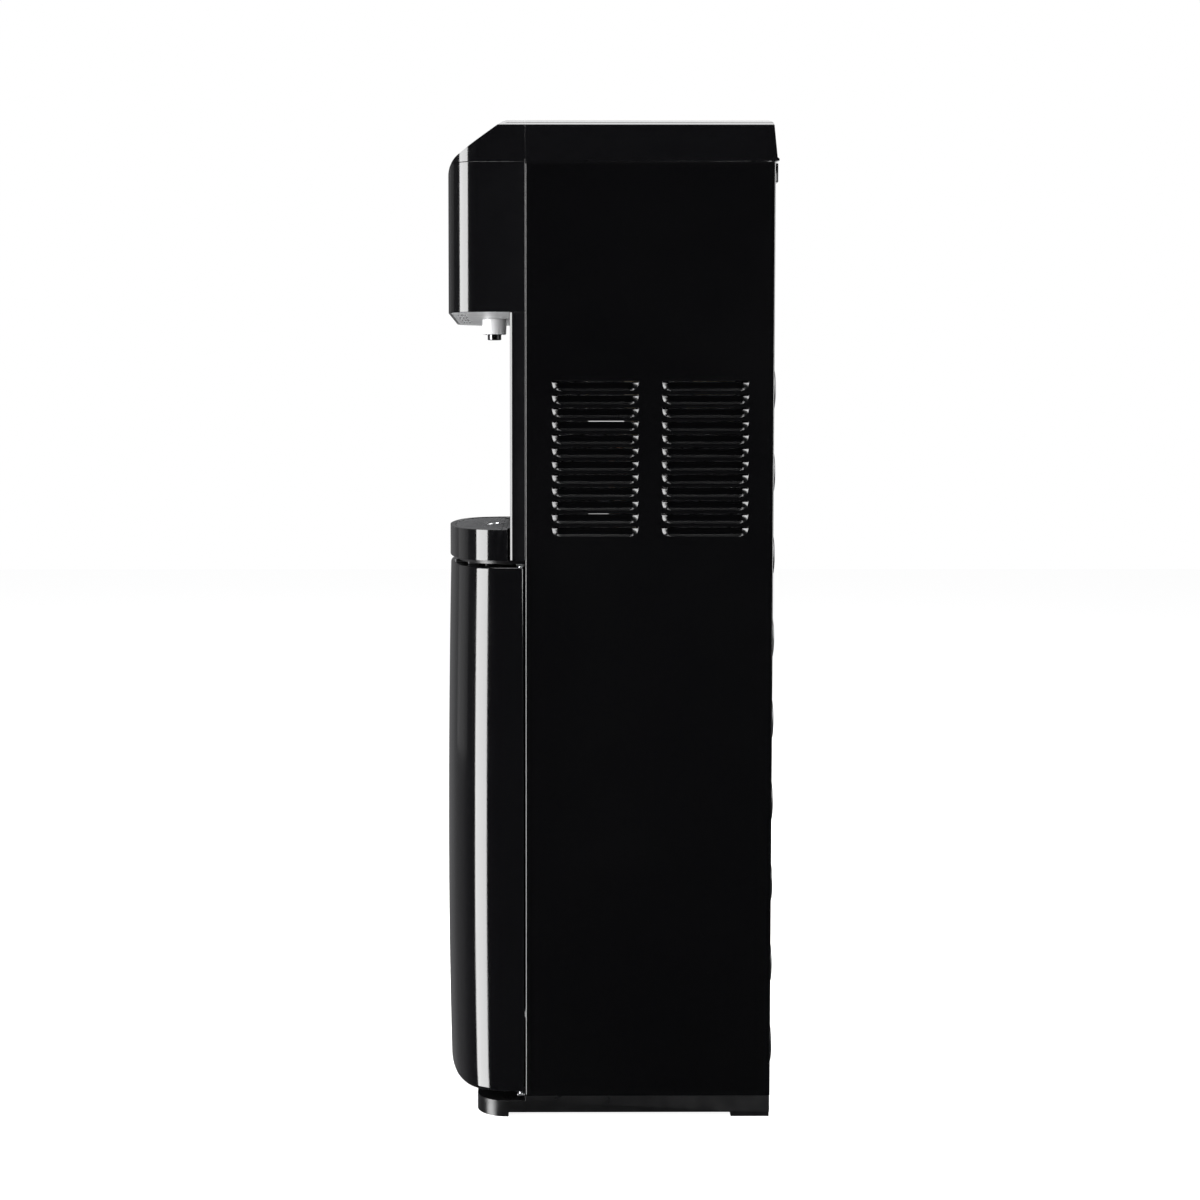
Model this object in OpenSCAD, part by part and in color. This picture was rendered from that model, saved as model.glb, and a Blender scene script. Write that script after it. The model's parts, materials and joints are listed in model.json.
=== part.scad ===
// Floor-standing bottom-loading water dispenser. +Z up, the front faces -Y.
// Origin: centre of the footprint on the floor.

/* [Cabinet] */
// Overall width across the side panels
cab_w = 310; // [306:1:314]
// Overall height
cab_h = 1041; // [1036:1:1046]
// Front-to-back depth of the side panels
panel_depth = 258; // [256:1:260]
// Thickness of the side panel sheet
sheet_t = 1; // [0.8:0.1:1.2]
// Height of the seam between the panels and the top covers
z_seam = 999; // [996:1:1001]

/* [Head and alcove] */
// How far the head stands in front of the side panels
head_fwd = 80; // [78:1:82]
// Height of the underside of the head
z_head = 845; // [843:1:847]
// Slope of the control face, degrees from horizontal
slope = 35.5; // [34:0.5:37]
// Radius of the nozzle shroud
shroud_r = 13.35; // [12.8:0.05:13.8]
// Distance of the nozzle axis in front of the side panels
noz_fwd = 34.4; // [33:0.1:36]

/* [Drip tray] */
// Height of the top of the drip tray
z_tray = 620; // [618:1:622]
// Height of the bottom of the drip tray
z_tray_b = 587.8; // [587.8:0.1:588.5]

/* [Door] */
// Furthest reach of the door in front of the side panels
door_fwd = 86; // [85:0.5:88]
// Top of the door
z_door_t = 581; // [579:1:581]
// Bottom of the door
z_door_b = 25.5; // [25.5:0.5:27]

/* [Louvres] */
// Rows of louvres in each column
louvre_rows = 12; // [8:1:12]
// Distance from one louvre to the next
louvre_pitch = 13.7; // [13:0.1:14.5]
// Height of one louvre
louvre_h = 10.2; // [9:0.1:10.4]

/* [Hidden] */
cond_out = 8;
hx = cab_w / 2;
yf = -(panel_depth + door_fwd + cond_out) / 2 + door_fwd;   // front edge of the side panels
yr = yf + panel_depth;                                      // rear edge of the side panels
y_noz = yf - noz_fwd;
z_base = 22;
z_foot = 17;
z_shelf = 587.5;
hinge_x = hx - 4;
hinge_y = yf - 4.5;
z_cshelf = 574;

// ---- helpers ----
function arcp(cx, cy, r, a0, a1, n) = [for (i = [0:n]) let (a = a0 + (a1 - a0) * i / n) [cx + r * cos(a), cy + r * sin(a)]];
function flip(p) = [for (i = [len(p) - 1:-1:0]) [-p[i][0], p[i][1]]];
function rev(p) = [for (i = [len(p) - 1:-1:0]) p[i]];
function whole(p) = concat(p, flip(p));
module blk(x0, x1, y0, y1, z0, z1) translate([x0, y0, z0]) cube([x1 - x0, y1 - y0, z1 - z0]);
module rod(x, y, z0, z1, r) translate([x, y, z0]) cylinder(h = z1 - z0, r = r, $fn = 48);
module rodx(x0, x1, y, z, r) translate([x0, y, z]) rotate([0, 90, 0]) cylinder(h = x1 - x0, r = r, $fn = 48);
module rody(x, y0, y1, z, r) translate([x, y1, z]) rotate([90, 0, 0]) cylinder(h = y1 - y0, r = r, $fn = 48);
module plan(p, z0, z1) translate([0, 0, z0]) linear_extrude(height = z1 - z0) polygon(p);
module prof(p, x0, x1) translate([x0, 0, 0]) rotate([90, 0, 90]) linear_extrude(height = x1 - x0) polygon(p);
module both() { children(); mirror([1, 0, 0]) children(); }

// Plan of the door's outside, moved inwards by o, at the height of its belly
function door_half(o) = let (k = door_fwd / 82.8, s = function(p) [p[0], (p[1] < yf - 18 ? yf - 18 + (p[1] - yf + 18) * k * 1.01 : p[1])])
  [for (p = concat(arcp(hx - 3, yf - 4.5, 3 - min(o, 2.5), 90, 0, 4), arcp(hx - 50, yf - 18, 50 - o, 0, -66, 9),
    arcp(hx - 94.74, yf + 82.49, 160 - o, -68, -80, 3), arcp(0, yf + 424.2, 507 - o, -81.5, -89, 5))) s(p)];
// Side profile of the door's front, moved inwards by o
function door_bow(z) = z > 250 ? door_fwd - 3.5 * pow((z - 250) / 331, 2) : door_fwd - 3.1 * pow((250 - z) / 225, 2);
function door_side(o) = concat([[yf + 5, z_door_b + o]], [for (i = [0:4]) let (z = z_door_b + o + (250 - z_door_b - o) * i / 5) [yf - door_bow(z) + o, z]],
  [for (i = [0:7]) let (z = 250 + (z_door_t - o - 250) * i / 7) [yf - door_bow(z) + o, z]], [[yf + 5, z_door_t - o]]);
// Plan of the drip tray's outside, moved inwards by o
function tray_half(o) = concat(arcp(hx - 50.4, yf - 18.4, 50 - o, -asin(o / (50 - o)), -66, 15),
  arcp(hx - 95.14, yf + 82.09, 160 - o, -68, -80, 5), arcp(0, yf + 423.8, 507 - o, -81.5, -89.5, 6));
// Plan of the head's outside, moved inwards by o
function head_half(o) = concat([[hx - o, yf]], arcp(hx - 36, yf - head_fwd + 36, 36 - o, 0, -90, 15));
// Outer top edge of the cover, side to top
function edge_top() = concat(arcp(hx - 2, cab_h - 6, 2, 0, 50, 4), arcp(hx - 7.13, cab_h - 3, 3, 50, 90, 4));
// Side profile of the head's top, moved inwards by o
tx = 10 * tan(slope / 2);
fr = 25;
z_cor = cab_h - (head_fwd - 21) * tan(slope);
tl = fr * tan((90 - slope) / 2);
zc = z_cor - tl;
function head_side(o, zb, y0) = let (a = zb > zc ? 180 - asin((zb - zc) / (fr - o)) : 180) concat([[y0, zb], [y0, cab_h - o]],
  arcp(yf - 21 + tx, cab_h - 10, 10 - o, 90, 90 + slope, 4),
  arcp(yf - head_fwd + fr, zc, fr - o, 90 + slope, a, 8), zb > zc ? [] : [[yf - head_fwd + o, zb]]);

// ---- base and panels ----
module base_plinth() { color("#17181a") difference() {
  union() {
    blk(-hx, hx, yf - 17.7, yr - 0.6, 4.6, z_base);
    plan(whole(concat([[hx, yf - 17.7]], arcp(hx - 32, yf - 19, 32, 0, -90, 14))), 0, z_foot);
    both() blk(hx - 60, hx, 126.7, yr - 1, 0, 4.6);
  }
  blk(-hx - 1, hx + 1, yf - 18, yf, z_foot, 30);
  blk(-hx + 70, hx - 70, yf - 14, 120, 3, 12);
} }
module louvre_cuts() for (c = [28, 142], r = [0:louvre_rows - 1])
  blk(hx - 3, hx + 1, yf + c, yf + c + 89.5, 774 - louvre_h - r * louvre_pitch, 774 - r * louvre_pitch);
module louvre_hoods() for (c = [28, 142], r = [0:louvre_rows - 1]) {
  z1 = 774 - r * louvre_pitch; z0 = z1 - louvre_h; y0 = yf + c; y1 = y0 + 89.5;
  translate([0, y1, 0]) rotate([90, 0, 0]) linear_extrude(height = y1 - y0)
    polygon([[hx - sheet_t, z0 - 0.4], [hx - 5.6, z1 - 2.4], [hx - 5.6, z1 - 1.2], [hx, z0], [hx, z0 - 0.4]]);
  for (y = [y0 - 0.1, y1 - 0.9]) translate([0, y + 1, 0]) rotate([90, 0, 0]) linear_extrude(height = 1)
    polygon([[hx - 0.2, z0], [hx - 5.6, z1 - 2.4], [hx - 5.6, z1], [hx - 0.2, z1]]);
}
module side_panel() {
  difference() {
    union() {
      blk(hx - sheet_t, hx, yf, yr, z_base + 0.2, z_seam - 0.4);
      blk(hx - 12, hx - sheet_t, yf, yf + 1, z_base + 0.2, z_seam - 0.4);
      blk(hx - 10, hx - sheet_t, yr - 1, yr, z_base + 0.2, z_seam - 0.4);
    }
    louvre_cuts();
    for (p = [[39, 821], [39, 770]]) rodx(hx - 3, hx + 1, p[0], p[1], 3);
  }
  louvre_hoods();
}
module right_side_panel() color("#1b1c1f") side_panel();
module left_side_panel() color("#1b1c1f") mirror([1, 0, 0]) side_panel();
module rear_panel() { color("#26272a") difference() {
  union() {
    blk(-hx + 2, hx - 2, yr - 2, yr - 1, 24, 992);
    both() difference() { blk(hx - 25, hx - 11, yr - 2, yr + 3.5, 979, 998); blk(hx - 26, hx - 10, yr - 1, yr + 2.4, 980.2, 996.8); }
  }
  rody(128, yr - 4, yr + 2, 70, 6.5);
  rody(-130, yr - 4, yr + 2, 608, 7.2);
  blk(62, 108, yr - 4, yr + 2, 916, 944);
  for (i = [0:9]) blk(-60, 60, yr - 4, yr + 2, 835 + i * 8, 838.5 + i * 8);
} }
module top_cover() { color("#202124") difference() {
  intersection() {
    prof([[yf + 0.3, z_seam], [yf + 0.3, cab_h], [yr - 7.4, cab_h], [yr - 4.4, cab_h - 0.7], [yr - 2.5, cab_h - 2.6], [yr - 1.8, cab_h - 5.6], [yr + 1.6, z_seam + 4], [yr + 3.5, z_seam + 2.5], [yr + 3.5, z_seam + 0.5], [yr, z_seam]], -hx, hx);
    translate([0, yr + 5, 0]) rotate([90, 0, 0]) linear_extrude(height = 300)
      polygon(whole(concat([[hx, z_seam]], edge_top())));
  }
  blk(-hx + 2.5, hx - 2.5, yf - 5, yr - 2.5, z_seam - 1, cab_h - 2.5);
} }

// ---- head ----
// local frame on the control face: -y runs down the slope, z is its normal
module on_slope() translate([0, yf - 21, cab_h]) rotate([slope, 0, 0]) children();
btn_x = 70; btn_w = 50; btn_l = 26; btn_s = 34;
module rr(w, l, r) { translate([-w / 2 + r, -l / 2]) square([w - 2 * r, l]); translate([-w / 2, -l / 2 + r]) square([w, l - 2 * r]);
  for (x = [-1, 1], y = [-1, 1]) translate([x * (w / 2 - r), y * (l / 2 - r)]) circle(r = r, $fn = 32); }
module control_cap() { color("#202124") difference() {
  intersection() {
    plan(whole(head_half(0)), z_seam, cab_h + 1);
    prof(head_side(0, z_seam, yf), -hx, hx);
    translate([0, yf + 5, 0]) rotate([90, 0, 0]) linear_extrude(height = 120)
      polygon(whole(concat([[hx, z_seam]], edge_top())));
  }
  intersection() {
    plan(whole(concat([[hx - 2.5, yf + 1]], arcp(hx - 36, yf - head_fwd + 36, 33.5, 0, -90, 15))), z_seam - 1, cab_h);
    prof(head_side(2.5, z_seam - 2, yf + 2), -hx, hx);
  }
  on_slope() {
    for (x = [-btn_x, 0, btn_x]) {
      translate([x, -btn_s, -8]) linear_extrude(height = 12) rr(btn_w, btn_l, 4);
      translate([x, -12, -8]) cylinder(h = 12, r = 2.6, $fn = 32);
    }
    translate([118, -btn_s + 8, -8]) cylinder(h = 12, r = 9, $fn = 48);
  }
} }
module dispense_button(x) on_slope() translate([x, -btn_s, 0]) {
  translate([0, 0, -6]) linear_extrude(height = 7.2) rr(btn_w - 0.8, btn_l - 0.8, 3.6);
  translate([0, 0, -14]) cylinder(h = 8, r = 4, $fn = 32);
}
module hot_button() color("#2b2b2e") dispense_button(btn_x);
module room_button() color("#2b2b2e") dispense_button(0);
module cold_button() color("#2b2b2e") dispense_button(-btn_x);
module child_lock_button() color("#9a1f1c") on_slope() translate([118, -btn_s + 8, 0]) {
  translate([0, 0, -6]) cylinder(h = 6.8, r = 8.6, $fn = 48);
  translate([0, 0, -14]) cylinder(h = 8, r = 3, $fn = 32);
}
module indicator_lenses() color("#d8e4ea") on_slope() for (x = [-btn_x, 0, btn_x])
  translate([x, -12, -5]) { cylinder(h = 5.2, r = 2.4, $fn = 32); cylinder(h = 2, r = 3.6, $fn = 32); }
module control_board() { color("#1d5b38") on_slope() union() {
  translate([-108, -54, -20]) cube([240, 50, 1.6]);
  for (x = [-btn_x, 0, btn_x, 118]) translate([x - 5, -(x == 118 ? btn_s - 8 : btn_s) - 5, -18.4]) cube([10, 10, 1.6]);
  translate([-100, -20, -27]) cube([20, 12, 7]);
} }
module head_front_cover() { color("#1c1d20") difference() {
  intersection() {
    plan(whole(head_half(0)), z_head, z_seam - 0.4);
    prof(head_side(0, z_head, yf), -hx, hx);
  }
  intersection() {
    plan(whole(concat([[hx - 2.5, yf + 1]], arcp(hx - 36, yf - head_fwd + 36, 33.5, 0, -90, 15))), z_head - 1, z_seam);
    prof(head_side(2.5, z_head - 2, yf + 2), -hx, hx);
  }
} }
module head_underside_cover() { color("#b6b8ba") difference() {
  union() {
    plan(whole(concat([[hx - 2.8, yf - 0.4]], arcp(hx - 36, yf - head_fwd + 36, 33.2, 0, -90, 15))), z_head, z_head + 3);
    blk(-hx + 13, hx - 13, yf - 1, yf + 62, z_head + 0.2, z_head + 3);
  }
  rod(0, y_noz, z_head - 1, z_head + 5, 8.2);
  for (x = [-85, -28, 28, 85], y = [0, 3.4, 6.8]) blk(x - 13, x + 13, yf - 71.5 + y, yf - 69.7 + y, z_head - 1, z_head + 4);
} }
module nozzle_shroud() color("#c9cacb") translate([0, y_noz, 0]) rotate_extrude($fn = 96)
  polygon([[8.4, z_head - 3], [shroud_r, z_head - 3 + 2.95], [shroud_r, z_head - 6], [shroud_r - 0.45, z_head - 16.2], [shroud_r - 1, z_head - 17],
    [shroud_r - 2.6, z_head - 17], [shroud_r - 2.2, z_head - 5], [8.4, z_head - 5]]);
module nozzle_spout() color("#2c2d2f") translate([0, y_noz, 0]) rotate_extrude($fn = 96)
  polygon([[5, z_head - 23], [7.1, z_head - 23], [7.5, z_head - 22.4], [7.5, z_head + 27], [10.5, z_head + 27], [10.5, z_head + 31], [5, z_head + 31]]);

// ---- alcove and drip tray ----
function alc_v() = concat([[hx, yf - 0.1]], arcp(hx - 1, yf - 13, 1, 0, -33, 3), arcp(hx - 1.75, yf - 14.89, 0.6, -33, -90, 3), arcp(hx - 24, yf - 9.5, 6, -90, -180, 4),
  arcp(hx - 75, yf + 20, 45, 0, 90, 14));
function alc_w() = concat([[hx - 2.5, yf - 0.1], [hx - 2.5, yf - 13]], arcp(hx - 24, yf - 9.5, 3.5, -90, -180, 4),
  arcp(hx - 75, yf + 20, 47.5, 0, 90, 14));
module alcove_liner() { color("#141518") plan(concat(alc_v(), flip(alc_v()), rev(flip(alc_w())), rev(alc_w())), z_shelf + 0.5, z_head); }
module tray_shelf() { color("#121315") {
  difference() {
    union() {
      plan(whole(concat([[hx - 7.4, yf - 0.4]], arcp(hx - 50.4, yf - 18.4, 43, 0, -66, 10), arcp(hx - 95.14, yf + 82.09, 153, -68, -80, 4), arcp(0, yf + 423.8, 500, -81.5, -89.5, 5))), z_shelf - 3.3, z_shelf);
      blk(-hx + 14, hx - 14, yf - 1, yf + 66, z_shelf - 3.3, z_shelf);
      both() blk(50, 70, yf + 30, yf + 60, z_cshelf, z_shelf - 3);
    }
    blk(-70, 70, yf - 40, yf - 10, z_shelf - 1, z_shelf + 1);
  }
  for (s = [-1, 1], p = [[64, 96, 30], [112, 80, 20], [132, 62, 40]])
    translate([s * p[0], yf - 4 - (p[1] - 30), z_shelf - 3.3]) rotate([0, 0, s * p[2]]) translate([-0.6, -6, -2.6]) cube([1.2, 12, 2.7]);
} }
module drip_tray() { color("#1b1c1f") difference() {
  union() {
    plan(whole(tray_half(0)), z_tray_b, z_tray);
    blk(-117, 117, yf - 20, yf + 39, z_tray_b, z_tray);
  }
  difference() {
    union() {
      plan(whole(tray_half(2.5)), z_tray_b + 2.5, z_tray - 4);
      plan(whole(tray_half(5.5)), z_tray - 5, z_tray + 1);
      blk(-114.5, 114.5, yf - 26, yf + 36.5, z_tray_b + 2.5, z_tray + 1);
    }
    for (x = [-60, 60]) rod(x, yf - 60, z_tray_b, z_tray - 5.2, 4);
    for (x = [-112.8, 112.8], y = [yf - 24.2, yf + 24]) rod(x, y, z_tray_b, z_tray - 5.2, 4);
  }
} }
module drip_grille() { color("#55575a") difference() {
  plan(whole(tray_half(5.9)), z_tray - 3.7, z_tray - 0.8);
  rod(0, y_noz, z_tray - 8, z_tray + 1, 12.1);
} }
module drip_grille_rear() { color("#55575a") difference() {
  blk(-114, 114, yf - 24.1, yf + 36, z_tray - 3.7, z_tray - 0.8);
  rod(0, y_noz, z_tray - 8, z_tray + 1, 12.1);
  for (i = [-10:10]) blk(i * 10.4 - 2.6, i * 10.4 + 2.6, yf - 20, yf + 30, z_tray - 6, z_tray);
} }
module grille_ring() color("#d0d2d4") translate([0, y_noz, 0]) rotate_extrude($fn = 96)
  polygon([[8, z_tray - 5], [12.05, z_tray - 5], [12.05, z_tray - 0.8], [12.9, z_tray - 0.8], [12.6, z_tray - 0.2], [9.4, z_tray - 0.2], [8, z_tray - 1.6]]);

// ---- door ----
module door_outer() { color("#1b1c1f") difference() {
  union() {
    difference() {
      intersection() {
        plan(whole(door_half(0)), z_door_b, z_door_t);
        prof(door_side(0), -hx, hx);
      }
      intersection() {
        plan(whole(concat([[hx - 2.5, yf + 3]], [for (p = door_half(2.5)) p])), z_door_b + 2.5, z_door_t - 2.5);
        prof(door_side(2.5), -hx, hx);
      }
    }
    for (z = [z_door_b, z_door_t - 15]) blk(hx - 9.5, hx - 1.5, hinge_y - 5, hinge_y + 2.8, z, z + 15);
  }
  for (z = [z_door_b - 1, z_door_t - 14]) rod(hinge_x, hinge_y, z, z + 15, 2.55);
} }
module door_inner_liner() { color("#2a2b2e") difference() {
  union() {
    blk(-hx + 3.5, hx - 10, yf - 4, yf - 1.7, z_door_b + 2.8, z_door_t - 2.8);
    blk(hx - 10.5, hx - 3.5, yf - 4, yf - 1.7, z_door_b + 16, z_door_t - 16);
    plan(whole(concat([[130, yf - 3]], arcp(100, yf - 22, 30, 0, -75, 6), arcp(0, yf + 305, 365, -72.5, -88, 5))), 54, 555);
  }
  plan(whole(concat([[127.8, yf]], arcp(100, yf - 22, 27.8, 0, -75, 6), arcp(0, yf + 305, 362.8, -72.5, -88, 5))), 56.2, 552.8);
} }
module upper_hinge_bracket() { color("#a9abad") union() {
  blk(hx - 11, hx - 0.5, hinge_y - 4.5, yf - 0.5, 582.2, 584.2);
  blk(hx - 40, hx - 10, yf - 8, yf - 0.5, 582.2, 584.2);
  rod(hinge_x, hinge_y, z_door_t - 12, 583, 2.5);
} }
module lower_hinge_bracket() { color("#a9abad") union() {
  blk(hx - 26, hx - 14, yf - 8, yf + 26, z_base, z_base + 2);
  blk(hx - 26, hx - 1, hinge_y - 3.9, hinge_y + 3.9, z_base, z_base + 2);
  rod(hinge_x, hinge_y, z_base + 1, z_door_b + 12, 2.5);
} }
module magnet_catch() { color("#8c8e90") { blk(-hx + 1.2, -hx + 11, yf + 1.2, yf + 12, 480, 520); blk(-hx + 12.2, -hx + 22, yf - 0.7, yf + 12, 486, 514); blk(-hx + 11, -hx + 12.2, yf + 2, yf + 12, 486, 514); } }
module strike_plate() color("#b9bbbd") blk(-hx + 12, -hx + 22, yf - 1.7, yf - 1.1, 484, 516);

// ---- bottle compartment ----
module bottle_tray() { color("#3a3b3e") difference() {
  blk(-hx + 13, hx - 28, yf + 2, yr - 10, z_base, z_base + 8);
  translate([-5, 30, z_base + 4]) cylinder(h = 10, r1 = 110, r2 = 114, $fn = 96);
} }
px = -134; py = 146;
module bottle_probe() color("#d9dbdd") translate([px, py, 0]) rotate_extrude($fn = 48)
  polygon([[3, 60], [5.5, 64], [5.5, 70], [7, 70], [7, 520], [3, 520]]);
module probe_cap() color("#e8e8e6") difference() {
  translate([px, py, 0]) rotate_extrude($fn = 48) polygon([[7.05, 486], [13, 486], [13, 512], [9, 518], [7.05, 518]]);
  rod(px, py, 480, 488, 7.5);
}
module probe_holder() { color("#4a4b4e") difference() {
  blk(-hx + 1.2, px + 12, py - 8, yr - 2.2, 440, 452);
  rod(px, py, 439, 453, 7.1);
} }
hose_c = [px + 22, py];
module suction_hose() { color("#e6e9ea") union() {
  rod(px, py, 520.3, 540, 4);
  translate([px + 12, py, 540]) rotate([90, 0, 0]) rotate_extrude(angle = 90, start = 90, $fn = 48) translate([12, 0]) circle(r = 4, $fn = 24);
  rodx(px + 12, px + 40, py, 552, 4);
  translate([px + 40, py, 564]) rotate([90, 0, 0]) rotate_extrude(angle = 90, start = 270, $fn = 48) translate([12, 0]) circle(r = 4, $fn = 24);
  rod(px + 52, py, 564, z_cshelf - 2.1, 4);
} }

// ---- cooling and heating ----
cx = 62; cy = 88;
module compressor_shelf() { color("#8d9094") difference() {
  union() {
    blk(-hx + 1.4, hx - 1.4, yf + 2, yr - 2.3, z_cshelf - 2, z_cshelf);
    both() blk(hx - 2.6, hx - 1.4, yf + 2, yr - 2.3, z_cshelf - 16, z_cshelf);
  }
  for (x = [cx - 52, cx + 52], y = [cy - 42, cy + 42]) rod(x, y, z_cshelf - 3, z_cshelf + 1, 5.2);
} }
module compressor() { color("#101113") difference() {
  union() {
    translate([cx, cy, 0]) rotate_extrude($fn = 96)
      polygon(concat([[0, 590], [46, 590], [58, 600], [60, 640]], [[62, 642], [62, 650], [60, 652]], arcp(32, 706, 28, 0, 80, 6), [[0, 738]]));
    blk(cx - 61, cx + 61, cy - 50, cy + 50, 587, 591);
    rod(cx + 37, cy - 46, 600, 668, 4);
  }
  for (x = [cx - 52, cx + 52], y = [cy - 42, cy + 42]) rod(x, y, 580, 600, 6);
} }
module compressor_grommets() color("#2a2a2a") for (x = [cx - 52, cx + 52], y = [cy - 42, cy + 42])
  translate([x, y, 0]) rotate_extrude($fn = 48)
    polygon([[2, z_cshelf - 3], [5, z_cshelf - 3], [5, z_cshelf + 0.2], [9, z_cshelf + 0.2], [9, 586.8], [5.8, 587], [5.8, 591.5], [8, 592], [7, 594], [2, 594]]);
module compressor_relay() color("#3b3b3d") blk(cx + 62.3, cx + 85, cy - 22, cy + 18, 630, 690);
module filter_drier() color("#b87333") translate([-4, 12, 0]) rotate_extrude($fn = 48)
  polygon([[0, 600], [3, 600], [3, 612], [10, 622], [10, 700], [3, 710], [3, 722], [0, 722]]);
runs = 18; run_p = 44; ctx = 100; cty = yr + 4;
module condenser_tube() { color("#101113") union() {
  for (i = [0:runs - 1]) rodx(-ctx + 12, ctx - 12, cty, 40 + i * run_p, 2.4);
  for (i = [0:runs - 2]) translate([i % 2 == 0 ? ctx - 12 : -ctx + 12, cty, 40 + (i + 0.5) * run_p]) rotate([90, 0, 0])
    rotate_extrude(angle = 180, start = i % 2 == 0 ? -90 : 90, $fn = 64) translate([run_p / 2, 0]) circle(r = 2.4, $fn = 24);
} }
module condenser_wires() color("#131416") for (i = [-7:7], s = [-1, 1]) rod(i * 11, cty + s * 3.2, 29, 805, 0.78);
module condenser_brackets() color("#101113") both() for (i = [2, 8, 15]) difference() {
  z = 40 + i * run_p;
  union() { blk(79.4, 87.4, yr - 0.95, cty + 3.4, z - 6, z + 6); blk(79.4, 102, yr - 0.95, yr + 0.6, z - 6, z + 6); }
  rodx(78, 89, cty, z, 2.46);
  blk(78, 89, cty, cty + 5, z - 2.2, z + 2.2);
}
kx = 0; ky = 66;
module cold_tank() { color("#c7c9cb") translate([kx, ky, 0]) difference() {
  union() { cylinder(h = 146, r = 65, $fn = 96); translate([0, 0, 144]) cylinder(h = 3, r = 70, $fn = 96); }
  translate([0, 0, 1.2]) cylinder(h = 143.6, r = 63.8, $fn = 96);
  translate([0, 0, 140]) cylinder(h = 10, r = 4.1, $fn = 32);
} }
module cold_tank_at() translate([0, 0, 812]) cold_tank();
module evaporator_coil() color("#b87333") for (i = [0:7]) translate([kx, ky, 824 + i * 11]) rotate_extrude($fn = 96) translate([68.4, 0]) circle(r = 3.2, $fn = 24);
module foam(z0, z1) difference() {
  blk(kx - 98, kx + 98, ky - 86, ky + 88, z0, z1);
  rod(kx, ky, 811, 956.4, 72);
  rod(kx, ky, 955, 960.2, 72);
  rod(kx, ky, 950, 1000, 9);
}
module insulation_lower() color("#f1f1ee") foam(798, 886);
module insulation_upper() color("#f1f1ee") foam(886.2, 984);
module float_stem() color("#e8e8e8") union() { rod(kx, ky, 850, 972, 4); rod(kx, ky, 848, 850, 6.5); rod(kx, ky, 959.3, 964, 8); }
module float_ring() color("#f4f4f2") difference() { rod(kx, ky, 850.05, 868, 13); rod(kx, ky, 840, 880, 4.08); }
hwx = -72; hwy = 85;
module hot_tank() { color("#cfd1d3") translate([hwx, hwy, 0]) difference() {
  union() { translate([0, 0, 600]) cylinder(h = 168, r = 50, $fn = 96); translate([0, 0, 768]) cylinder(h = 18, r = 6, $fn = 32); }
  translate([0, 0, 601.2]) cylinder(h = 165.6, r = 48.8, $fn = 96);
  translate([0, 0, 760]) cylinder(h = 30, r = 4.5, $fn = 32);
} }
module hot_tank_jacket() { color("#c9b08a") difference() {
  rod(hwx, hwy, z_cshelf + 0.3, 784, 63);
  rod(hwx, hwy, 599, 769, 50.3);
  rod(hwx, hwy, 765, 790, 7);
  rod(hwx, hwy, 618, 662, 53);
} }
module heater_band() color("#9c9ea0") difference() { rod(hwx, hwy, 620, 660, 52.6); rod(hwx, hwy, 619, 661, 50.2); }
module pump_bracket() { color("#9a9c9e") difference() {
  union() { blk(hx - 2.4, hx - 1.1, 29, 50, 742, 832); blk(26, 147, 34, 92, 742, 743.5); blk(146, hx - 1.1, 30, 50, 742, 743.5); }
  for (p = [[39, 821], [39, 770]]) rodx(hx - 5, hx, p[0], p[1], 1.6);
} }
module water_pump() { color("#2d2f33") union() {
  rodx(34, 96.5, 68, 765, 19); rodx(96, 118, 68, 765, 21); rodx(118, 130, 60, 772, 4); rodx(118, 130, 76, 772, 4);
  blk(40, 90, 54, 82, 743.7, 756);
} }
module solenoid_valves() color("#e2e2df") for (x = [-46, 0, 46]) union() {
  blk(x - 14, x + 14, yf - 50, yf - 22, 884, 920);
  rod(x, yf - 36, 876.4, 884.2, 5);
  rod(x, yf - 36, 920, 940, 10.5);
}
module power_board() { color("#1f5f3a") union() { blk(-126, -124.4, -14, 12, 790, 960); blk(-124.4, -112, -10, 8, 800, 850); blk(-124.4, -108, -10, 8, 870, 910); } }

// ---- rear fittings ----
module switch_bezel() { color("#151618") difference() {
  union() { blk(60, 110, yr - 0.95, yr + 1.2, 914, 946); blk(62.2, 107.8, yr - 12, yr - 0.9, 916.2, 943.8); }
  for (x = [73, 97]) blk(x - 8, x + 8, yr - 14, yr + 3, 918, 942);
} }
module rocker(x) {
  prof([[yr - 5, 920.5], [yr + 1.6, 920], [yr + 0.6, 930], [yr + 3.2, 939.6], [yr - 5, 939.5]], x - 7.6, x + 7.6);
  rodx(x - 7.6, x + 7.6, yr - 4, 930, 4.4);
}
module hot_switch() color("#a01a18") rocker(73);
module cold_switch() color("#1a6b3a") rocker(97);
module drain_outlet() { color("#d8d8d4") difference() {
  union() { rody(-130, yr - 26, yr + 3, 608, 7); rody(-130, yr - 6, yr - 2.2, 608, 11); }
  rody(-130, yr - 30, yr + 6, 608, 4.5);
} }
module drain_cap() { color("#202124") union() {
  difference() { rody(-130, yr + 0.2, yr + 7.4, 608, 11); rody(-130, yr - 1, yr + 4.2, 608, 7.3); }
  difference() { rody(-130, yr - 5, yr + 5, 608, 4.2); rody(-130, yr - 6, yr + 4, 608, 2.8); }
} }
module cord_gland() { color("#161719") difference() {
  union() { rody(128, yr - 14, yr - 0.5, 70, 6.3); rody(128, yr - 0.9, yr + 3, 70, 10); rody(128, yr - 7, yr - 2.2, 70, 9); }
  rody(128, yr - 20, yr + 6, 70, 4.2);
} }
module panel_screws() color("#3a3b3d") {
  both() for (p = [[39, 821], [39, 770]]) union() { rodx(hx - 1.05, hx - 0.2, p[0], p[1], 2.8); rodx(hx - 8, hx - 1, p[0], p[1], 1.5); }
}

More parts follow.
